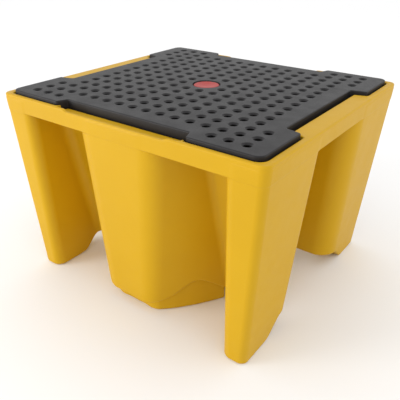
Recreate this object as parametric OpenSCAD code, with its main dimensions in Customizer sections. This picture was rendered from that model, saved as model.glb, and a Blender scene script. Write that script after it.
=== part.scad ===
// Spill containment pallet for one intermediate bulk container: an open moulded sump on
// four corner legs and two middle feet, a lift-off perforated deck, and a round plug in
// the deck's middle that opens for a pump or a dip stick. Millimetres, +Z up, floor at 0.

/* [Overall] */
// Width over the rim, left to right
width = 1400; // [1200:10:1500]
// Depth over the rim, front to back
depth = 1290; // [1200:10:1500]
// Height of the rim above the floor
rim_height = 940; // [850:10:1050]
// How far each end wall leans in from rim to floor
lean_x = 57; // [20:1:80]
// How far the front and back walls lean in from rim to floor
lean_y = 38; // [20:1:80]
// Wall thickness of the moulded sump
skin = 8; // [6:0.5:12]

/* [Sump outline] */
// Corner radius of the sump seen from above
corner_round = 35; // [20:1:60]
// Underside of the rim band, where the recesses stop
band_foot = 862; // [820:1:900]
// Half width of the middle lobe's nose at the floor, to its sharp corner
nose_low = 128; // [100:1:180]
// Half width of the middle lobe's nose at the rim, to its sharp corner
nose_high = 200; // [160:1:260]
// Rounding of the nose at the floor
nose_round_low = 110; // [80:1:180]
// Rounding of the nose at the rim
nose_round_high = 130; // [100:1:220]
// How steeply the lobe's side walls run inward
wall_turn = 55; // [40:1:70]
// Distance from the middle to a front recess's rear wall, at the floor
rear_low = 271; // [240:1:320]
// Distance from the middle to a front recess's rear wall, at the rim
rear_high = 471; // [420:1:520]
// Distance from the middle to a corner leg's inner wall
leg_wall = 525; // [460:1:550]
// Rounding of a leg's outer vertical edge beside a front recess
leg_round = 48; // [40:1:110]
// Half width of an end recess at the floor
end_low = 218; // [180:1:250]
// Half width of an end recess at the rim
end_high = 154; // [120:1:200]
// Rounding of a leg's outer vertical edge beside an end recess
end_round = 100; // [40:1:120]
// Distance from the middle to an end recess's rear wall, at the floor
end_rear_low = 400; // [340:1:450]
// Distance from the middle to an end recess's rear wall, at the rim
end_rear_high = 490; // [440:1:560]
// Inside rounding of the recesses
hollow_round = 50; // [30:1:60]

/* [Underside] */
// Clear height under the sump floor between the feet
arch_height = 85; // [60:1:120]
// Distance from the middle where the arch starts to fall to a corner foot
arch_from = 296; // [260:1:340]
// Distance from the middle where a corner foot stands on the floor
arch_to = 432; // [380:1:480]
// Half width of a middle foot where it meets the arch
foot_half = 352; // [320:1:380]

/* [Rim] */
// Thickness of the front and back rims beside the deck's corner tabs
rim_wall = 23; // [12:1:30]
// Thickness of the end rims beside the deck's corner tabs
rim_wall_end = 32; // [20:1:40]
// Height of the shelf that carries the deck
shelf_height = 872; // [865:1:885]
// Thickness of the rim along the middle of the ends
end_rim = 90; // [60:1:110]
// Thickness of the rim along the middle of the front and back
front_rim = 69; // [50:1:80]
// Height of the trough in the front and back rims
trough_height = 918; // [900:1:930]
// Height of the lowered lip outside the trough
lip_height = 930; // [920:1:938]
// Half length of the lowered lip
lip_half = 262; // [200:1:300]

/* [Deck] */
// Height of the deck's top
deck_top = 955; // [945:1:970]
// Half width of the deck over its corner tabs
deck_half_x = 660; // [630:1:665]
// Half depth of the deck over its corner tabs
deck_half_y = 616; // [600:1:620]
// How far the middle of each end sits in from the tabs
deck_in_x = 70; // [40:1:80]
// How far the middle of the front and back sits in from the tabs
deck_in_y = 48; // [30:1:60]
// Half length of the set-in part along the front and back
notch_x = 332; // [300:1:360]
// Half length of the set-in part along the ends
notch_y = 316; // [290:1:340]
// Thickness of the deck's top plate
deck_plate = 7; // [5:0.5:12]
// Thickness of the deck's skirt
deck_skirt = 6; // [4:0.5:10]
// Thickness of the ribs under the deck
rib = 4; // [3:0.5:8]
// Spacing of the drain holes, left to right
pitch_x = 75; // [60:1:90]
// Spacing of the drain holes, front to back
pitch_y = 73; // [60:1:90]
// Holes along each side of the deck
holes = 16; // [12:2:18]
// Diameter of a drain hole
hole_d = 30; // [20:1:36]
// Diameter of the countersink round a drain hole
sink_d = 46; // [34:1:52]
// Depth of the countersink
sink_h = 6; // [3:0.5:6.5]

/* [Plug] */
// Diameter of the plug's face
plug_d = 122; // [100:1:140]
// Diameter of the seat that the plug drops into
seat_d = 134; // [110:1:150]
// Depth of the seat below the deck's top
seat_depth = 12; // [8:1:20]
// Diameter of the opening under the seat
bore_d = 100; // [80:1:115]
// How far the plug's face sits below the deck's top
plug_drop = 3; // [0:0.5:6]

/* [Hidden] */
gap = 0.3;
eps = 1;
yellow = [0.93, 0.72, 0.16];
black = [0.18, 0.18, 0.19];
red = [0.80, 0.20, 0.18];
steps = [8, 4, 5, 6, 5, 6, 5];

function at(z, low, high) = low + (high - low) * z / rim_height;
function half_x(z, w) = at(z, width / 2 - lean_x, width / 2) - w;
function half_y(z, w) = at(z, depth / 2 - lean_y, depth / 2) - w;
function nose_x(z, w) = at(z, nose_low, nose_high) - w * tan(wall_turn / 2);
function rear_y(z, w) = at(z, rear_low, rear_high) - w;
function wall_x(z, w) = nose_x(z, w) + (half_y(z, w) - rear_y(z, w)) / tan(wall_turn);
function end_y(z, w) = at(z, end_low, end_high) + w;
function end_x(z, w) = at(z, end_rear_low, end_rear_high) - w;

// One quarter of the sump's outline at height z, pulled in by w: [x, y, rounding, steps].
function quarter(z, w) = [
    [nose_x(z, w), half_y(z, w), at(z, nose_round_low, nose_round_high) - w, steps[0]],
    [wall_x(z, w), rear_y(z, w), hollow_round + w, steps[1]],
    [leg_wall + w, rear_y(z, w), hollow_round + w, steps[2]],
    [leg_wall + w, half_y(z, w), leg_round - w, steps[3]],
    [half_x(z, w), half_y(z, w), corner_round - w, steps[4]],
    [half_x(z, w), end_y(z, w), end_round - w, steps[5]],
    [end_x(z, w), end_y(z, w), hollow_round + w, steps[6]]
];
function plain(z, w) = [[half_x(z, w), half_y(z, w), corner_round - w, steps[4]]];

function flipped(q, sx, sy) = [for (p = q) [p[0] * sx, p[1] * sy, p[2], p[3]]];
function turned(q) = [for (i = [len(q) - 1 : -1 : 0]) q[i]];
function ring(q) = concat(q, turned(flipped(q, 1, -1)), flipped(q, -1, -1), turned(flipped(q, -1, 1)));

function unit(v) = v / norm(v);
// The rounded corner at vertex b, between its neighbours a and c, as points.
function arc(a, b, c) = let (
    p = [b[0], b[1]],
    u = unit([a[0], a[1]] - p),
    v = unit([c[0], c[1]] - p),
    half = acos(max(-1, min(1, u * v))) / 2,
    mid = p + unit(u + v) * b[2] / sin(half),
    from = p + u * b[2] / tan(half) - mid,
    to = p + v * b[2] / tan(half) - mid,
    a0 = atan2(from[1], from[0]),
    turn = atan2(to[1], to[0]) - a0,
    sweep = turn > 180 ? turn - 360 : turn < -180 ? turn + 360 : turn
) [for (k = [0 : b[3]]) mid + b[2] * [cos(a0 + sweep * k / b[3]), sin(a0 + sweep * k / b[3])]];
function rounded(r) = let (n = len(r)) [for (i = [0 : n - 1]) each arc(r[(i + n - 1) % n], r[i], r[(i + 1) % n])];

// A solid through closed outlines, one for each [height, points].
module loft(levels) {
    n = len(levels[0][1]);
    m = len(levels);
    points = [for (l = levels) each [for (p = l[1]) [p[0], p[1], l[0]]]];
    sides = [for (j = [0 : m - 2]) each [for (i = [0 : n - 1])
        each [[j * n + i, j * n + (i + 1) % n, (j + 1) * n + (i + 1) % n],
              [j * n + i, (j + 1) * n + (i + 1) % n, (j + 1) * n + i]]]];
    faces = concat([[for (i = [n - 1 : -1 : 0]) i]], sides, [[for (i = [0 : n - 1]) (m - 1) * n + i]]);
    polyhedron(points = points, faces = faces, convexity = 10);
}

function level(z, w) = [z, rounded(ring(quarter(z, w)))];
function band(z, w) = [z, rounded(ring(plain(z, w)))];

// The arch under the sump beside the corner feet, as a front-to-back profile.
function arch(grow) = let (n = 10) concat(
    [for (k = [0 : n]) let (t = k / n, s = t * t * (3 - 2 * t))
        [-(arch_to + (arch_from - arch_to) * t) - grow * 0.6, grow + arch_height * s]],
    [for (k = [n : -1 : 0]) let (t = k / n, s = t * t * (3 - 2 * t))
        [arch_to + (arch_from - arch_to) * t + grow * 0.6, grow + arch_height * s]],
    [[arch_to + grow, -20], [-arch_to - grow, -20]]);

module arches(grow) {
    for (s = [-1, 1])
        translate([s > 0 ? foot_half - grow : -width, 0, 0])
            rotate([90, 0, 90]) linear_extrude(width - foot_half + grow) polygon(arch(grow));
    translate([-foot_half - eps, -rear_low - grow - 4, -20])
        cube([2 * foot_half + 2 * eps, 2 * (rear_low + grow + 4), 20 + arch_height + grow]);
}

// Stations round a middle foot: [x, y] on the outer wall, edge height, [x, y] at the floor.
function foot_stations() = [
    [0, 625, 74, 0, 553], [96, 625, 76, 96, 553], [150, 618, 86, 141, 549],
    [190, 590, 98, 181, 535], [215, 560, 120, 203, 514], [243, 520, 150, 226, 488],
    [268, 484, 168, 252, 455], [296, 444, 171, 279, 421], [324, 404, 150, 306, 385],
    [352, 364, 112, 334, 348], [378, 324, 92, 358, 316]];

// What is cut away below the wavy edge of a middle foot, thickened inward by grow.
module foot_undercut(grow) {
    st = foot_stations();
    for (m = [-1, 1]) for (i = [0 : len(st) - 2])
        hull() for (s = [st[i], st[i + 1]]) {
            dir = unit([s[0] * 0.9, s[1]]);
            low = [s[3], s[4]] - dir * grow * 1.2;
            high = [s[0] - (s[0] - s[3]) * 0.15, s[1] - (s[1] - s[4]) * 0.15] - dir * grow;
            reach = dir * (s[0] < 200 ? 100 : 55);
            for (p = [[low, -4], [low + reach, -4], [high, s[2] + grow * 0.8], [high + reach, s[2] + grow * 0.8]])
                translate([m * p[0][0], p[0][1], p[1]]) cube(0.1, center = true);
        }
}

// The outline of the deck, or of the opening it drops into when grown by g.
module deck_outline(hx, hy, ix, iy, nx, ny, r) {
    slope = 16;
    q = [[nx, hy - iy, 10, 3], [nx + slope, hy, 14, 3], [hx, hy, r, 6], [hx, ny + slope, 14, 3], [hx - ix, ny, 10, 3]];
    polygon(rounded(ring(q)));
}

module sump() {
    color(yellow) union() {
        difference() {
            union() {
                loft([level(0, 12), level(4, 4.5), level(14, 0), level(band_foot, 0)]);
                loft([band(band_foot, 0), band(rim_height - 8, 0), band(rim_height - 2, 2.5), band(rim_height, 8)]);
            }
            // the tank's inside
            difference() {
                loft([level(skin, skin + 10), level(skin + 8, skin), level(shelf_height + eps, skin)]);
                arches(skin);
                foot_undercut(skin);
                mirror([0, 1, 0]) foot_undercut(skin);
            }
            arches(0);
            foot_undercut(0);
            mirror([0, 1, 0]) foot_undercut(0);
            // the seat of the deck
            translate([0, 0, shelf_height]) linear_extrude(rim_height)
                deck_outline(width / 2 - rim_wall_end, depth / 2 - rim_wall, end_rim - rim_wall_end,
                    front_rim - rim_wall, notch_x - 6, notch_y - 6, 38);
            // the trough and lowered lip along the front and back
            for (s = [-1, 1]) {
                translate([-notch_x, s > 0 ? depth / 2 - front_rim - eps : -depth / 2 + 15, trough_height])
                    cube([2 * notch_x, front_rim - 15 + eps, 100]);
                translate([0, s * (depth / 2 - 10), 0]) rotate([90, 0, 0])
                    linear_extrude(60, center = true)
                        polygon([[-lip_half, lip_height], [lip_half, lip_height],
                            [lip_half + 30, rim_height + 5], [-lip_half - 30, rim_height + 5]]);
            }
        }
    }
}

module plate_outline(inset) {
    deck_outline(deck_half_x - inset, deck_half_y - inset, deck_in_x, deck_in_y,
        notch_x, notch_y, 34 - inset);
}

function is_corner(i) = i < 3 || i > holes - 4;
function drilled(i, j) = let (last = holes - 1, mid = holes / 2)
    !((i == 0 || i == last) && !is_corner(j)) && !((j == 0 || j == last) && !is_corner(i))
    && !((i == mid || i == mid - 1) && (j == mid || j == mid - 1));

module deck() {
    foot = shelf_height + gap;
    color(black) difference() {
        union() {
            translate([0, 0, deck_top - deck_plate]) linear_extrude(deck_plate) plate_outline(0);
            translate([0, 0, foot]) linear_extrude(deck_top - foot - deck_plate) difference() {
                plate_outline(0);
                plate_outline(deck_skirt);
            }
            translate([0, 0, foot + 20]) linear_extrude(deck_top - deck_plate - foot - 20) intersection() {
                plate_outline(deck_skirt / 2);
                union() {
                    for (i = [-3 : 3]) {
                        translate([i * 2 * pitch_x, 0]) square([rib, 2 * deck_half_y], center = true);
                        translate([0, i * 2 * pitch_y]) square([2 * deck_half_x, rib], center = true);
                    }
                    circle(d = seat_d + 16);
                }
            }
        }
        for (i = [0 : holes - 1], j = [0 : holes - 1]) if (drilled(i, j))
            translate([(i - holes / 2 + 0.5) * pitch_x, (j - holes / 2 + 0.5) * pitch_y, 0]) {
                translate([0, 0, deck_top - 20]) cylinder(h = 40, d = hole_d);
                translate([0, 0, deck_top - sink_h]) cylinder(h = sink_h, d1 = hole_d, d2 = sink_d);
            }
        translate([0, 0, deck_top - seat_depth]) cylinder(h = seat_depth + 5, d = seat_d);
        translate([0, 0, foot]) cylinder(h = deck_top, d = bore_d);
    }
}

module inspection_plug() {
    face = deck_top - plug_drop;
    rest = deck_top - seat_depth + gap;
    color(red) difference() {
        union() {
            translate([0, 0, rest]) cylinder(h = face - rest - 2, d = plug_d);
            translate([0, 0, face - 2]) cylinder(h = 2, d1 = plug_d, d2 = plug_d - 4);
            translate([0, 0, rest - 30]) cylinder(h = 30 + eps, d = bore_d - 3);
        }
        translate([0, 0, rest - 31]) cylinder(h = 34, d = bore_d - 13);
    }
}

sump();
deck();
inspection_plug();
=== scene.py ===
"""Spill containment pallet: a moulded yellow sump, a black perforated deck and a red plug.

The CAD frame gives the overall sizes. Each shape below is worked out in millimetres from
named sizes, and becomes a mesh in metres.
"""

import math

import bpy
import numpy as np
from mathutils import Matrix, Vector
from mathutils.geometry import delaunay_2d_cdt


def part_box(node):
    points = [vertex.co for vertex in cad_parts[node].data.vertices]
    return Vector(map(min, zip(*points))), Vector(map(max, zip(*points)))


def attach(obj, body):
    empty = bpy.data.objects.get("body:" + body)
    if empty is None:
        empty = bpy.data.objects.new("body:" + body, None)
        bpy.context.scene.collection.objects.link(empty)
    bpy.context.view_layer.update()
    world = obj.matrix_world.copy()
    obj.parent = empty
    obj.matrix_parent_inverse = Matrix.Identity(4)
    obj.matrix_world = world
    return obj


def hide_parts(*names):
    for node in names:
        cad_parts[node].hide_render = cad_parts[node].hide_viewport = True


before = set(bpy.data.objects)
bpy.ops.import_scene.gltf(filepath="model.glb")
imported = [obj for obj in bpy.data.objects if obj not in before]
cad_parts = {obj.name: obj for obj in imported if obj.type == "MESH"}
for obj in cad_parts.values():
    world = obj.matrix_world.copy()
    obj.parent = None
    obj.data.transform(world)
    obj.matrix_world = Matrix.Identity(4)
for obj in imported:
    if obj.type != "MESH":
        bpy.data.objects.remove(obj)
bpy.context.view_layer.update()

MM = 0.001
sump_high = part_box("sump")[1] / MM
deck_low, deck_high = (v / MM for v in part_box("deck"))
plug_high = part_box("inspection_plug")[1] / MM

# ---------------------------------------------------------------- sizes, in millimetres
RIM = sump_high.z                     # height of the rim
HALF_X = sump_high.x + 0.5            # half width and half depth over the rim
HALF_Y = sump_high.y + 0.3
LEAN_X, LEAN_Y = 57, 38               # how far the outer walls lean in down to the floor
CORNER = 35                           # rounding of the sump's corners, seen from above
BAND = 862                            # underside of the rim band
BAND_EDGE = 5                         # rounding of the band's lower edge and the fillet under it
BASE_ROUND, RIM_ROUND = 12, 8         # rounding of the sump's lowest and topmost edges
NOSE, NOSE_ROUND = (128, 200), (110, 130)   # middle lobe at the floor and at the rim
WALL_TURN = math.radians(55)          # slant of the lobe's side walls
REAR = (271, 471)                     # rear wall of the front and back recesses
LEG, LEG_ROUND = 525, 48              # inner wall of a corner leg, and its outer rounding
END, END_ROUND = (218, 154), 100      # half width of the end recesses
END_REAR = (400, 490)                 # rear wall of the end recesses
HOLLOW = 50                           # inside rounding of the recesses
ARCH, ARCH_FROM, ARCH_TO = 85, 296, 432     # arch between the feet
FOOT = 352                            # half width of a middle foot under the arch
CHANNEL, CHANNEL_ROUND = 275, 30      # half depth and corners of the way between the middle feet
LEG_TOE = 0.6                         # slope of the arch's line beyond the leg's foot
UNDER_ROUND, UNDER_EDGE = 14, 9       # rounding inside the underside's hollows, and of its edges
WALL, WALL_ROUND = 12, 14             # wall of the sump, and the rounding inside it
SHELF = 872                           # height of the shelf that carries the deck
SEAT_PLAY, SEAT_ROUND = 6, 5          # play round the deck's tabs, and the seat's rounded edge
RIM_X, RIM_Y = (32, 90), (23, 69)     # rim beside the deck's tabs, and along its middle edges
TROUGH = 918                          # height of the finger trough in the front and back rims
LIP, LIP_THICK = 930, 15              # height and thickness of the lowered lip outside it
LIP_HALF, LIP_SLOPE = 262, 0.5        # half length of the lip, and how it rises to the rim
# A middle foot's wavy edge: bearing in degrees from the front, height, and how far the foot
# below it is set in from the wall.
FOOT_EDGE = [(0, 76, 55), (5, 73, 55), (9, 72, 50), (15, 81, 36), (21, 103, 28), (26, 140, 28),
             (30, 162, 28), (34, 163, 28), (39, 141, 28), (49, 86, 28), (60, 70, 28)]
FOOT_EDGE_ROUND = 7                   # rounding inside the step below the wavy edge
FOOT_TO, FOOT_PAST = 53, 60           # bearing where the edge ends, and its reach past the foot

DECK_TOP = deck_high.z
DECK_FOOT = deck_low.z
TAB_X, TAB_Y = deck_high.x, deck_high.y     # half width and half depth over the corner tabs
SET_IN_X, SET_IN_Y = 70, 48           # how far the deck's middle edges sit in from the tabs
NOTCH_X, NOTCH_Y, NOTCH_SLOPE = 332, 316, 16      # half lengths of the set-in parts
NOTCH_ROUND, TAB_ROUND = (10, 14), 34             # roundings of the notches and of the tabs
PITCH_X, PITCH_Y, HOLES = 75, 73, 16
HOLE_R, SINK_R, SINK_DEEP = 15, 23, 6
PLATE, SKIRT, RIB, RIB_FOOT = 7, 6, 4, 20   # thicknesses, and how far the ribs stop above the foot
DECK_EDGE, SKIRT_ROUND = 5, 1.5       # rounding of the deck's top edge and of the skirt's foot
SEAT_R, SEAT_DEEP, BORE_R, BOSS = 67, 12, 50, 8   # the plug's seat and bore, and the boss's wall
PLUG_R, PLUG_TOP, PLUG_EDGE = plug_high.x, plug_high.z, 3
PLUG_PLAY, SPIGOT_PLAY, SPIGOT_LONG, SPIGOT_WALL = 0.3, 1.5, 30, 5
CIRCLE_SIDES, HOLE_SIDES, QUICK_HOLE_SIDES = 72, 30, 18


# ---------------------------------------------------------------- the sump as a field
def lean(z, pair):
    return pair[0] + (pair[1] - pair[0]) * z / RIM


def half_x(z):
    return HALF_X - LEAN_X + LEAN_X * z / RIM


def half_y(z):
    return HALF_Y - LEAN_Y + LEAN_Y * z / RIM


def both(a, b, r):
    """The overlap of two solids, given as distances, with the edge between them rounded."""
    return np.minimum(np.maximum(a, b), -r) + np.hypot(np.maximum(a + r, 0), np.maximum(b + r, 0))


def either(a, b, r):
    """Two solids joined, with a fillet between them."""
    return -both(-a, -b, r)


def unit(x, y):
    size = np.hypot(x, y)
    return x / size, y / size


def outline(x, y, chain):
    """Signed distance to a run of straight lines with rounded corners [x, y, rounding].
    The solid is on the right of the way it runs."""
    best = np.full(np.broadcast(x, chain[0][0]).shape, 1e9)

    def keep(d, where=None):
        closer = np.abs(d) < np.abs(best)
        if where is not None:
            closer &= where
        np.copyto(best, d, where=closer)

    ax, ay = chain[0][:2]
    for i in range(1, len(chain)):
        bx, by, r = chain[i]
        dx, dy = unit(bx - chain[i - 1][0], by - chain[i - 1][1])
        last = i == len(chain) - 1
        if not last:
            ex, ey = unit(chain[i + 1][0] - bx, chain[i + 1][1] - by)
            turn = dx * ey - dy * ex
            reach = r * np.tan(np.arccos(np.clip(dx * ex + dy * ey, -1, 1)) / 2)
        else:
            reach = 0.0
        qx, qy = bx - dx * reach, by - dy * reach
        along = np.clip((x - ax) * dx + (y - ay) * dy, 0, (qx - ax) * dx + (qy - ay) * dy)
        away = np.hypot(x - ax - dx * along, y - ay - dy * along)
        side = (y - ay) * dx - (x - ax) * dy
        keep(np.where(side > 0, away, -away))
        if not last:
            s = np.where(turn < 0, 1.0, -1.0)          # 1 on an outside corner
            cx, cy = qx + s * dy * r, qy - s * dx * r
            px, py = s * (x - cx), s * (y - cy)
            inside = (-dy * py - dx * px) * s <= 0
            inside &= (px * ex + py * ey) * s <= 0
            keep(s * (np.hypot(px, py) - r), inside)
            ax, ay = bx + ex * reach, by + ey * reach
    return best


def walls(x, y, z):
    """Distance to the sump's outline at height z, for x and y at or above 0."""
    hx, hy, nose, rear = half_x(z), half_y(z), lean(z, NOSE), lean(z, REAR)
    end, end_rear = lean(z, END), lean(z, END_REAR)
    wall = nose + (hy - rear) / math.tan(WALL_TURN)
    same = np.zeros_like(hx)
    return outline(x, y, [
        (same, hy, 0), (nose, hy, lean(z, NOSE_ROUND)), (wall, rear, HOLLOW),
        (same + LEG, rear, HOLLOW), (same + LEG, hy, LEG_ROUND), (hx, hy, CORNER),
        (hx, end, END_ROUND), (end_rear, end, HOLLOW), (end_rear, same, 0)])


def deck_corners(hx, hy, in_x, in_y, nx, ny, r):
    """One quarter of the deck's outline, or of its seat's, as a chain for outline()."""
    s = NOTCH_SLOPE
    inner, outer = NOTCH_ROUND
    return [(0, hy - in_y, 0), (nx, hy - in_y, inner), (nx + s, hy, outer), (hx, hy, r),
            (hx, ny + s, outer), (hx - in_x, ny, inner), (hx - in_x, 0, 0)]


SEAT_LINE = deck_corners(
    HALF_X - RIM_X[0], HALF_Y - RIM_Y[0], RIM_X[1] - RIM_X[0], RIM_Y[1] - RIM_Y[0],
    NOTCH_X - SEAT_PLAY, NOTCH_Y - SEAT_PLAY, TAB_ROUND + 4)


def smooth(t, ts, values):
    """A smooth curve through the values at ts."""
    ts, values = np.array(ts, float), np.array(values, float)
    slope = np.gradient(values, ts)
    i = np.clip(np.searchsorted(ts, t) - 1, 0, len(ts) - 2)
    h = ts[i + 1] - ts[i]
    u = np.clip((t - ts[i]) / h, 0, 1)
    return ((2 * u ** 3 - 3 * u ** 2 + 1) * values[i] + (u ** 3 - 2 * u ** 2 + u) * h * slope[i]
            + (3 * u ** 2 - 2 * u ** 3) * values[i + 1] + (u ** 3 - u ** 2) * h * slope[i + 1])


def underside(x, y, z):
    """Distance to the space under the sump: the arches beside the corner legs, the way
    between the middle feet, and those feet's undercuts."""
    t = (ARCH_TO - y) / (ARCH_TO - ARCH_FROM)
    u = np.clip(t, 0, 1)
    height = np.where(t > 0, ARCH * u * u * (3 - 2 * u), (ARCH_TO - y) * LEG_TOE)
    steep = np.where(t > 0, 6 * ARCH * u * (1 - u) / (ARCH_TO - ARCH_FROM), LEG_TOE)
    arch = both((z - height) / np.hypot(1, steep), FOOT - x, UNDER_ROUND)
    way = both(both(x - FOOT - CHANNEL_ROUND, y - CHANNEL, CHANNEL_ROUND), z - ARCH, UNDER_ROUND)
    angle = np.degrees(np.arctan2(x, np.maximum(y, 1e-6)))
    bearings, heights, insets = zip(*FOOT_EDGE)
    edge, inset = smooth(angle, bearings, heights), smooth(angle, bearings, insets)
    cut = both(-inset - walls(x, y, np.maximum(z, edge)), z - edge, FOOT_EDGE_ROUND)
    past = (angle - FOOT_TO) * np.hypot(x, y) * math.radians(1)
    cut = np.maximum(cut, np.maximum(past, x - FOOT - FOOT_PAST))
    return either(either(arch, way, 12), cut, 16)


def sump_field(x, y, z):
    """Below 0 inside the sump's material, in millimetres."""
    x, y = np.abs(x), np.abs(y)
    side = walls(x, y, z)
    body = both(both(side, -z, BASE_ROUND), z - RIM + 20, 4)
    over_x, over_y = x - half_x(z) + CORNER, y - half_y(z) + CORNER
    flat = np.hypot(np.maximum(over_x, 0), np.maximum(over_y, 0)) \
        + np.minimum(np.maximum(over_x, over_y), 0) - CORNER
    band = both(both(flat, z - RIM, RIM_ROUND), BAND - z, BAND_EDGE)
    under = underside(x, y, z)
    solid = both(either(body, band, BAND_EDGE), -under, UNDER_EDGE)
    seat = both(outline(x, y, SEAT_LINE), SHELF - z, 4)
    solid = both(solid, -seat, SEAT_ROUND)
    across = np.maximum(y - HALF_Y + LIP_THICK, HALF_Y - RIM_Y[1] - 1 - y)
    trough = both(both(x - NOTCH_X, across, 8), TROUGH - z, 5)
    lip = np.maximum(HALF_Y - 40 - y, LIP + LIP_SLOPE * np.maximum(x - LIP_HALF, 0) - z)
    solid = both(solid, -either(trough, lip, 3), 4)
    hollow = both(both(side + WALL, WALL - z, WALL_ROUND), WALL - under, WALL_ROUND)
    return both(solid, -np.maximum(hollow, z - SHELF - 3), 4)


def lines(*stops):
    """Grid lines: the first stop says where they start, and each later one is (up to, step)."""
    out, at = [], stops[0][0]
    for to, step in stops[1:]:
        n = max(1, round((to - at) / step))
        out += [at + (to - at) * k / n for k in range(n)]
        at = to
    return np.array(out + [at])


def mirrored(a, axis):
    """A grid with its mirror image before it, sharing the line in the middle."""
    part = np.flip(np.take(a, range(1, a.shape[axis]), axis), axis)
    return np.concatenate([part, a], axis)


def sump_mesh():
    """The sump's surface: one point in each grid cell that the field's zero passes through,
    moved onto the zero, with normals from the field."""
    # The grid leans in with the walls and is closest at the rim, the notches and the foot.
    us = lines((0, 0), (312, 8), (352, 5), (604, 8), (HALF_X + 8, 4))
    vs = lines((0, 0), (300, 8), (332, 5), (572, 8), (HALF_Y + 8, 4.5))
    zs = lines((-6, 0), (22, 4), (180, 8), (845, 15), (RIM + 4, 3.6))
    x = us[:, None, None] * half_x(zs)[None, None, :] / HALF_X + 0 * vs[None, :, None]
    y = vs[None, :, None] * half_y(zs)[None, None, :] / HALF_Y + 0 * us[:, None, None]
    z = zs[None, None, :] + 0 * x
    f = mirrored(mirrored(sump_field(x, y, z), 0), 1)
    x = mirrored(x, 0)
    x[:len(us) - 1] *= -1
    x = np.concatenate([np.flip(x[:, 1:], 1), x], 1)
    y = mirrored(y, 1)
    y[:, :len(vs) - 1] *= -1
    y = np.concatenate([np.flip(y[1:], 0), y], 0)
    z = mirrored(mirrored(z, 0), 1)
    grid = np.stack([x, y, z], -1)
    cells = tuple(n - 1 for n in f.shape)
    total = np.zeros((cells[0] * cells[1] * cells[2], 3))
    count = np.zeros(len(total))
    quads = []
    for axis in range(3):
        lo = [slice(None)] * 3
        hi = [slice(None)] * 3
        lo[axis], hi[axis] = slice(0, -1), slice(1, None)
        f0, f1 = f[tuple(lo)], f[tuple(hi)]
        i, j, k = np.nonzero((f0 < 0) != (f1 < 0))
        a, b = f0[i, j, k], f1[i, j, k]
        t = (a / (a - b))[:, None]
        p = grid[tuple(lo)][i, j, k] * (1 - t) + grid[tuple(hi)][i, j, k] * t
        ids = []
        one, two = [(1, 2), (2, 0), (0, 1)][axis]
        for d1, d2 in ((-1, -1), (0, -1), (0, 0), (-1, 0)):
            c = [i, j, k]
            c[one] = c[one] + d1
            c[two] = c[two] + d2
            cell = (c[0] * cells[1] + c[1]) * cells[2] + c[2]
            ids.append(cell)
            for q in range(3):
                total[:, q] += np.bincount(cell, p[:, q], len(total))
            count += np.bincount(cell, minlength=len(total))
        quad = np.stack(ids, 1)
        quads.append(np.where((a < 0)[:, None], quad, quad[:, ::-1]))
    used = np.nonzero(count)[0]
    number = np.full(len(total), -1)
    number[used] = np.arange(len(used))
    faces = number[np.concatenate(quads)]

    # Only the quarter with x and y above 0 is worked out; the rest is its mirror image.
    i, j, k = np.unravel_index(used, cells)
    far_i, far_j = np.maximum(i, cells[0] - 1 - i), np.maximum(j, cells[1] - 1 - j)
    twin = number[np.ravel_multi_index((far_i, far_j, k), cells)]
    own = np.nonzero((far_i == i) & (far_j == j))[0]
    points = total[used[own]] / count[used[own]][:, None]

    def gradient(p, f0, h):
        g = np.empty_like(p)
        for q in range(3):
            step = np.zeros(3)
            step[q] = h
            g[:, q] = (sump_field(*(p + step).T) - f0) / h
        return g

    for _ in range(3):      # Newton steps onto the surface, each at most 4 mm
        f0 = sump_field(*points.T)
        g = gradient(points, f0, 0.05)
        move = f0[:, None] * g / np.maximum((g * g).sum(1), 0.2)[:, None]
        size = np.linalg.norm(move, axis=1, keepdims=True)
        points -= move * np.minimum(1, 4 / np.maximum(size, 1e-9))
    # The normals are taken across 0.5 mm centred on each point.
    normals = gradient(points - 0.25, sump_field(*(points - 0.25).T), 0.5)
    normals /= np.maximum(np.linalg.norm(normals, axis=1, keepdims=True), 1e-9)
    place = np.full(len(used), -1)
    place[own] = np.arange(len(own))
    sign = np.stack([np.where(far_i == i, 1, -1), np.where(far_j == j, 1, -1),
                     np.ones(len(i))], 1)
    return points[place[twin]] * sign, faces, normals[place[twin]] * sign


# ---------------------------------------------------------------- building meshes
class Shape:
    """Points with normals, and faces, gathered in millimetres."""

    def __init__(self):
        self.points, self.normals, self.faces = [], [], []

    def add(self, points, normals):
        """Takes in points with their normals and gives back their numbers."""
        start = len(self.points)
        self.points += [tuple(p) for p in points]
        self.normals += [tuple(n) for n in normals]
        return list(range(start, len(self.points)))

    def sweep(self, ring, away, profile, inward=False):
        """Carries a profile of (outward, height) round an anticlockwise ring of points
        with unit directions away. The solid is on the profile's right, or on its left if
        it runs inward from a flat top, as in a hole."""
        s = -1 if inward else 1
        rings = []
        for k, (out, up) in enumerate(profile):
            nr, nz = profile_normal(profile, k)
            rings.append(self.add(
                [(p[0] + a[0] * out, p[1] + a[1] * out, up) for p, a in zip(ring, away)],
                [(s * a[0] * nr, s * a[1] * nr, s * nz) for a in away]))
        for a, b in zip(rings, rings[1:]):
            self.strip(a, b, inward)
        return rings

    def strip(self, a, b, inward=False):
        """Quads between two closed rings of the same length."""
        for i in range(len(a)):
            j = (i + 1) % len(a)
            quad = (a[i], a[j], b[j], b[i]) if inward else (a[i], b[i], b[j], a[j])
            self.faces.append(quad)

    def box(self, low, high):
        """A closed box between two corners."""
        for axis in range(3):
            one, two = (axis + 1) % 3, (axis + 2) % 3
            for s, far in ((-1, low), (1, high)):
                ps = []
                for a, b in ((low, low), (high, low), (high, high), (low, high)):
                    p = [0.0, 0.0, 0.0]
                    p[axis], p[one], p[two] = far[axis], a[one], b[two]
                    ps.append(p)
                n = [0.0, 0.0, 0.0]
                n[axis] = s
                ids = self.add(ps, [n] * 4)
                self.faces.append(tuple(ids if s > 0 else ids[::-1]))


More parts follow.
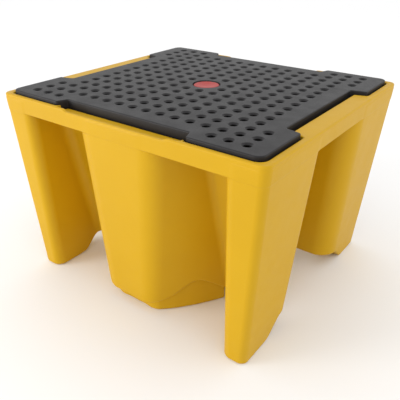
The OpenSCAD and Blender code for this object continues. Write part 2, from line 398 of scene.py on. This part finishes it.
def profile_normal(profile, k):
    """Smooth normal at one point of a profile that has the solid on its right."""
    out = []
    for a, b in ((k - 1, k), (k, k + 1)):
        if 0 <= a and b < len(profile):
            dx, dz = profile[b][0] - profile[a][0], profile[b][1] - profile[a][1]
            size = math.hypot(dx, dz)
            out.append((-dz / size, dx / size))
    x, z = sum(o[0] for o in out), sum(o[1] for o in out)
    size = math.hypot(x, z)
    return x / size, z / size


def bend(cx, cz, r, start, end, n):
    """Points of a profile round a centre, from one angle to another in degrees."""
    return [(cx + r * math.cos(math.radians(start + (end - start) * k / n)),
             cz + r * math.sin(math.radians(start + (end - start) * k / n))) for k in range(n + 1)]


def make(name, points, faces, normals, material, body, node):
    """A piece that rides a body in place of a CAD node. Faces are quads in an array, or a list."""
    mesh = bpy.data.meshes.new(name)
    points = np.asarray(points, float) * MM
    if isinstance(faces, np.ndarray):
        mesh.vertices.add(len(points))
        mesh.vertices.foreach_set("co", points.astype(np.float32).ravel())
        mesh.loops.add(faces.size)
        mesh.loops.foreach_set("vertex_index", faces.astype(np.int32).ravel())
        mesh.polygons.add(len(faces))
        mesh.polygons.foreach_set("loop_start", np.arange(0, faces.size, 4, dtype=np.int32))
        mesh.update(calc_edges=True)
    else:
        mesh.from_pydata(points.tolist(), [], faces)
    mesh.validate()
    mesh.polygons.foreach_set("use_smooth", np.ones(len(mesh.polygons), bool))
    mesh.normals_split_custom_set_from_vertices([tuple(n) for n in normals])
    mesh.materials.append(material)
    obj = bpy.data.objects.new(name, mesh)
    bpy.context.scene.collection.objects.link(obj)
    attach(obj, body)
    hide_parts(node)


def spokes(cx, cy, n):
    """A centre and the n directions round it, for sweeping a profile of (radius, height)."""
    away = [(math.cos(2 * math.pi * k / n), math.sin(2 * math.pi * k / n)) for k in range(n)]
    return [(cx, cy)] * n, away


# ---------------------------------------------------------------- the deck
def deck_loop():
    """The deck's outline as points and outward directions, anticlockwise."""
    quarter = deck_corners(TAB_X, TAB_Y, SET_IN_X, SET_IN_Y, NOTCH_X, NOTCH_Y, TAB_ROUND)
    points, away = [], []
    for i in range(1, len(quarter) - 1):
        b, r = np.array(quarter[i][:2], float), quarter[i][2]
        d = np.array(unit(*(b - np.array(quarter[i - 1][:2]))))
        e = np.array(unit(*(np.array(quarter[i + 1][:2]) - b)))
        turn = math.asin(d[0] * e[1] - d[1] * e[0])
        s = 1 if turn < 0 else -1
        start = b - d * r * math.tan(abs(turn) / 2)
        centre = start + s * r * np.array([d[1], -d[0]])
        steps = max(3, round(abs(turn) * r / 3))
        for k in range(steps + 1):
            a = turn * k / steps
            ca, sa = math.cos(a), math.sin(a)
            n = np.array([-d[1] * ca - d[0] * sa, -d[1] * sa + d[0] * ca])
            points.append(centre + s * r * n)
            away.append(n)
    ring, out = [], []
    for sx, sy in ((1, 1), (1, -1), (-1, -1), (-1, 1)):
        order = range(len(points)) if sx * sy > 0 else range(len(points) - 1, -1, -1)
        ring += [(points[k][0] * sx, points[k][1] * sy) for k in order]
        out += [(away[k][0] * sx, away[k][1] * sy) for k in order]
    return ring[::-1], out[::-1]


def drilled(i, j):
    """Whether the grid has a hole there: none in the set-in edges, and none under the plug."""
    edge = lambda k: k in (0, HOLES - 1)
    corner = lambda k: k < 3 or k > HOLES - 4
    middle = lambda k: k in (HOLES // 2 - 1, HOLES // 2)
    set_in = (edge(i) and not corner(j)) or (edge(j) and not corner(i))
    return not set_in and not (middle(i) and middle(j))


def plate_face(shape, up, outer, holes):
    """A flat face between an outer ring and the holes, each (ring, centre, radius), whose
    points are all in the shape already."""
    ids = list(outer) + [v for h in holes for v in h[0]]
    flat = [Vector((shape.points[v][0], shape.points[v][1])) for v in ids]
    edges, at = [], 0
    for ring in [outer] + [h[0] for h in holes]:
        n = len(ring)
        edges += [(at + k, at + (k + 1) % n) for k in range(n)]
        at += n
    verts, _, faces, original, _, _ = delaunay_2d_cdt(flat, edges, [], 1, 1e-4)
    centres = np.array([h[1] for h in holes])
    radii = np.array([h[2] for h in holes])
    for face in faces:
        mid = np.array(sum((verts[v] for v in face), Vector((0, 0)))) / len(face)
        if np.any(np.hypot(*(centres - mid).T) < radii * 0.985):
            continue
        tri = [ids[original[v][0]] for v in face]
        a, b, c = (verts[v] for v in face[:3])
        shape.faces.append(tuple(tri if up == ((b - a).cross(c - a) > 0) else tri[::-1]))


def deck_shape():
    """Plate, skirt, countersunk holes, plug seat and the ribs below, each a closed surface."""
    shape = Shape()
    ring, away = deck_loop()
    under = DECK_TOP - PLATE
    edge, foot, fillet = DECK_EDGE, SKIRT_ROUND, 2.5
    outer = bend(-edge, DECK_TOP - edge, edge, 90, 0, 5) \
        + bend(-foot, DECK_FOOT + foot, foot, 0, -90, 2) \
        + bend(-SKIRT + foot, DECK_FOOT + foot, foot, -90, -180, 2) \
        + bend(-SKIRT - fillet, under - fillet, fillet, 0, 90, 3)
    rings = shape.sweep(ring, away, outer)
    top_holes, low_holes = [], []
    slope = math.degrees(math.atan2(SINK_DEEP, SINK_R - HOLE_R))
    sides = HOLE_SIDES
    throat = bend(SINK_R + 1.2, DECK_TOP - 3.6, 3.6, 90, 90 + slope, 3)
    throat += bend(HOLE_R + 1.5, DECK_TOP - SINK_DEEP - 0.6, 1.5, 90 + slope, 180, 2)
    throat += [(HOLE_R, under - 3), (HOLE_R + 1.2, under - 4.2), (HOLE_R + 2.4, under - 3),
               (HOLE_R + 2.4, under)]
    for i in range(HOLES):
        for j in range(HOLES):
            if drilled(i, j):
                cx, cy = (i - HOLES / 2 + 0.5) * PITCH_X, (j - HOLES / 2 + 0.5) * PITCH_Y
                spot, out = spokes(cx, cy, sides)
                turned = shape.sweep(spot, out, throat, inward=True)
                top_holes.append((turned[0], (cx, cy), throat[0][0]))
                low_holes.append((turned[-1], (cx, cy), throat[-1][0]))
    seat = DECK_TOP - SEAT_DEEP
    low = DECK_FOOT + RIB_FOOT
    boss = SEAT_R + BOSS
    bore = bend(SEAT_R + 2, DECK_TOP - 2, 2, 90, 180, 3) \
        + [(SEAT_R, seat + 0.8), (SEAT_R - 0.8, seat)] \
        + bend(BORE_R + 1.5, seat - 1.5, 1.5, 90, 180, 2) \
        + [(BORE_R, low + 1), (BORE_R + 1, low), (boss - 1, low), (boss, low + 1), (boss, under)]
    spot, out = spokes(0, 0, CIRCLE_SIDES)
    turned = shape.sweep(spot, out, bore, inward=True)
    top_holes.append((turned[0], (0, 0), bore[0][0]))
    low_holes.append((turned[-1], (0, 0), bore[-1][0]))
    for v in rings[0]:
        shape.normals[v] = (0, 0, 1)
    for h in top_holes:
        for v in h[0]:
            shape.normals[v] = (0, 0, 1)
    plate_face(shape, True, rings[0], top_holes)
    low_outer = shape.add([(shape.points[v][0], shape.points[v][1], under) for v in rings[-1]],
                          [(0, 0, -1)] * len(ring))
    shape.strip(rings[-1], low_outer)
    low_rings = []
    for hole, centre, radius in low_holes:
        flat = shape.add([(*shape.points[v][:2], under) for v in hole], [(0, 0, -1)] * len(hole))
        low_rings.append((flat, centre, radius))
    plate_face(shape, False, low_outer, low_rings)
    high = under + 1
    for k in range(-3, 4):
        for axis in (0, 1):
            at = k * 2 * (PITCH_X, PITCH_Y)[axis]
            other = (TAB_Y, TAB_X)[axis]
            notch = (NOTCH_X, NOTCH_Y)[axis]
            set_in = (SET_IN_Y, SET_IN_X)[axis] if abs(at) < notch + 10 else 0
            reach = other - SKIRT / 2 - set_in
            spans = [(-reach, reach)] if k else [(-reach, -SEAT_R - 6), (SEAT_R + 6, reach)]
            for a, b in spans:
                lo = [at - RIB / 2, a, low] if axis == 0 else [a, at - RIB / 2, low]
                hi = [at + RIB / 2, b, high] if axis == 0 else [b, at + RIB / 2, high]
                shape.box(lo, hi)
    return shape


def plug_shape():
    """A slightly dished face over a hollow spigot."""
    shape = Shape()
    rest = DECK_TOP - SEAT_DEEP + PLUG_PLAY
    foot = rest - SPIGOT_LONG
    spigot, r, edge, tip = BORE_R - SPIGOT_PLAY, PLUG_R, PLUG_EDGE, 1.5
    inside = spigot - SPIGOT_WALL
    brim = (r - 12, PLUG_TOP)
    dish = [(44, PLUG_TOP), (38, PLUG_TOP - 0.6), (26, PLUG_TOP - 1.4), (12, PLUG_TOP - 1.9),
            (0.6, PLUG_TOP - 2.0)]
    outer = [brim] + bend(r - edge, PLUG_TOP - edge, edge, 90, 0, 4) \
        + [(r, rest + 0.6), (r - 0.6, rest), (spigot + 0.6, rest), (spigot, rest - 0.6)] \
        + bend(spigot - tip, foot + tip, tip, 0, -90, 2) \
        + [(inside + 0.5, foot), (inside, foot + 0.6), (inside, rest + 2.4),
           (inside - 0.6, rest + 3), (0.6, rest + 3)]
    spot, out = spokes(0, 0, CIRCLE_SIDES)
    lower = shape.sweep(spot, out, outer)
    upper = shape.sweep(spot, out, [brim] + dish, inward=True)
    shape.faces += [tuple(upper[-1]), tuple(lower[-1][::-1])]
    return shape


# ---------------------------------------------------------------- materials
NOISE_SPREAD = 0.5                    # the part of the noise's range that counts


def plastic(name, colour, dark, roughness, gloss, grain, grain_size, wave, wave_size):
    """Moulded plastic: a slight drift of colour, a fine grain and a long soft waviness."""
    m = bpy.data.materials.new(name)
    m.use_nodes = True
    nodes, links = m.node_tree.nodes, m.node_tree.links
    shader = nodes["Principled BSDF"]
    shader.inputs["Specular IOR Level"].default_value = gloss
    place = nodes.new("ShaderNodeTexCoord")

    def noise(scale, detail, rough=0.5):
        n = nodes.new("ShaderNodeTexNoise")
        n.inputs["Scale"].default_value = scale
        n.inputs["Detail"].default_value = detail
        n.inputs["Roughness"].default_value = rough
        links.new(place.outputs["Object"], n.inputs["Vector"])
        return n.outputs["Fac"]

    def spread_range(value, low, high):
        r = nodes.new("ShaderNodeMapRange")
        r.inputs["From Min"].default_value = 0.5 - NOISE_SPREAD / 2
        r.inputs["From Max"].default_value = 0.5 + NOISE_SPREAD / 2
        r.inputs["To Min"].default_value = low
        r.inputs["To Max"].default_value = high
        links.new(value, r.inputs["Value"])
        return r.outputs["Result"]

    mix = nodes.new("ShaderNodeMix")
    mix.data_type = "RGBA"
    mix.inputs["A"].default_value = (*dark, 1)
    mix.inputs["B"].default_value = (*colour, 1)
    links.new(spread_range(noise(2.2, 5, 0.55), 0.2, 1.0), mix.inputs["Factor"])
    links.new(mix.outputs["Result"], shader.inputs["Base Color"])
    links.new(spread_range(noise(14, 6, 0.6), *roughness), shader.inputs["Roughness"])
    fine = nodes.new("ShaderNodeBump")
    fine.inputs["Strength"].default_value = grain
    fine.inputs["Distance"].default_value = 0.0006
    links.new(noise(grain_size, 3, 0.6), fine.inputs["Height"])
    soft = nodes.new("ShaderNodeBump")
    soft.inputs["Strength"].default_value = wave
    soft.inputs["Distance"].default_value = 0.004
    links.new(noise(wave_size, 2, 0.4), soft.inputs["Height"])
    links.new(fine.outputs["Normal"], soft.inputs["Normal"])
    links.new(soft.outputs["Normal"], shader.inputs["Normal"])
    return m


yellow = plastic("yellow_polyethylene", (0.575, 0.332, 0.004), (0.53, 0.30, 0.003), (0.42, 0.52),
                 gloss=0.2, grain=0.35, grain_size=420, wave=0.12, wave_size=16)
black = plastic("black_polyethylene", (0.014, 0.013, 0.014), (0.010, 0.009, 0.010), (0.42, 0.54),
                gloss=0.28, grain=0.5, grain_size=520, wave=0.1, wave_size=20)
red = plastic("red_polyethylene", (0.38, 0.022, 0.017), (0.33, 0.017, 0.013), (0.34, 0.44),
              gloss=0.15, grain=0.2, grain_size=500, wave=0.05, wave_size=24)

# ---------------------------------------------------------------- the three pieces
make("sump_shell", *sump_mesh(), yellow, "sump", "sump")
deck = deck_shape()
make("perforated_deck", deck.points, deck.faces, deck.normals, black, "deck", "deck")
plug = plug_shape()
make("round_plug", plug.points, plug.faces, plug.normals, red, "plug", "inspection_plug")

# ---------------------------------------------------------------- floor, light and camera
FLOOR_R, FLOOR_SIDES, FLOOR_Z = 30, 64, -0.0005       # metres; just below the feet
floor_mesh = bpy.data.meshes.new("floor")
floor_edge = [(FLOOR_R * math.cos(2 * math.pi * k / FLOOR_SIDES),
               FLOOR_R * math.sin(2 * math.pi * k / FLOOR_SIDES), FLOOR_Z)
              for k in range(FLOOR_SIDES)]
floor_mesh.from_pydata(floor_edge, [], [tuple(range(FLOOR_SIDES))])
floor_paint = bpy.data.materials.new("pale_floor")
floor_paint.use_nodes = True
floor_shader = floor_paint.node_tree.nodes["Principled BSDF"]
floor_shader.inputs["Base Color"].default_value = (0.88, 0.88, 0.88, 1)
floor_shader.inputs["Roughness"].default_value = 0.9
floor_mesh.materials.append(floor_paint)
floor = bpy.data.objects.new("floor", floor_mesh)
bpy.context.scene.collection.objects.link(floor)

world = bpy.data.worlds.new("studio")
world.use_nodes = True
sky = world.node_tree.nodes["Background"]
sky.inputs["Color"].default_value = (1, 1, 1, 1)
sky.inputs["Strength"].default_value = 1.12
bpy.context.scene.world = world
bpy.context.scene.view_settings.view_transform = "Standard"

LIT_POINT = Vector((0, 0, 0.5))


def softbox(name, place, size, power):
    """A square area light that faces the middle of the object."""
    data = bpy.data.lights.new(name, "AREA")
    data.shape = "RECTANGLE"
    data.size, data.size_y = size, size
    data.energy = power
    obj = bpy.data.objects.new(name, data)
    bpy.context.scene.collection.objects.link(obj)
    obj.location = place
    obj.rotation_euler = (LIT_POINT - Vector(place)).to_track_quat("-Z", "Y").to_euler()


softbox("key", (-5.0, -6.4, 2.0), 3.0, 310)
softbox("fill", (4.6, 1.6, 2.0), 2.0, 18)

# The photo's viewpoint.
AZIMUTH, ELEVATION, ROLL = (math.radians(a) for a in (36.934, 29.049, 0.151))
LENS, SHIFT, EYE = 44.03, (0.0185, 0.0167), (1.349, -1.902, 1.578)
camera_data = bpy.data.cameras.new("camera")
camera_data.sensor_width = 36
camera_data.lens = LENS
camera_data.shift_x, camera_data.shift_y = SHIFT
camera = bpy.data.objects.new("camera", camera_data)
bpy.context.scene.collection.objects.link(camera)
back = Vector((math.sin(AZIMUTH) * math.cos(ELEVATION),
               -math.cos(AZIMUTH) * math.cos(ELEVATION), math.sin(ELEVATION)))
level = (-back).cross(Vector((0, 0, 1))).normalized()
upright = level.cross(-back)
right = level * math.cos(ROLL) + upright * math.sin(ROLL)
up = upright * math.cos(ROLL) - level * math.sin(ROLL)
turn = Matrix((right, up, back)).transposed()
camera.matrix_world = Matrix.Translation(EYE) @ turn.to_4x4()
bpy.context.scene.camera = camera
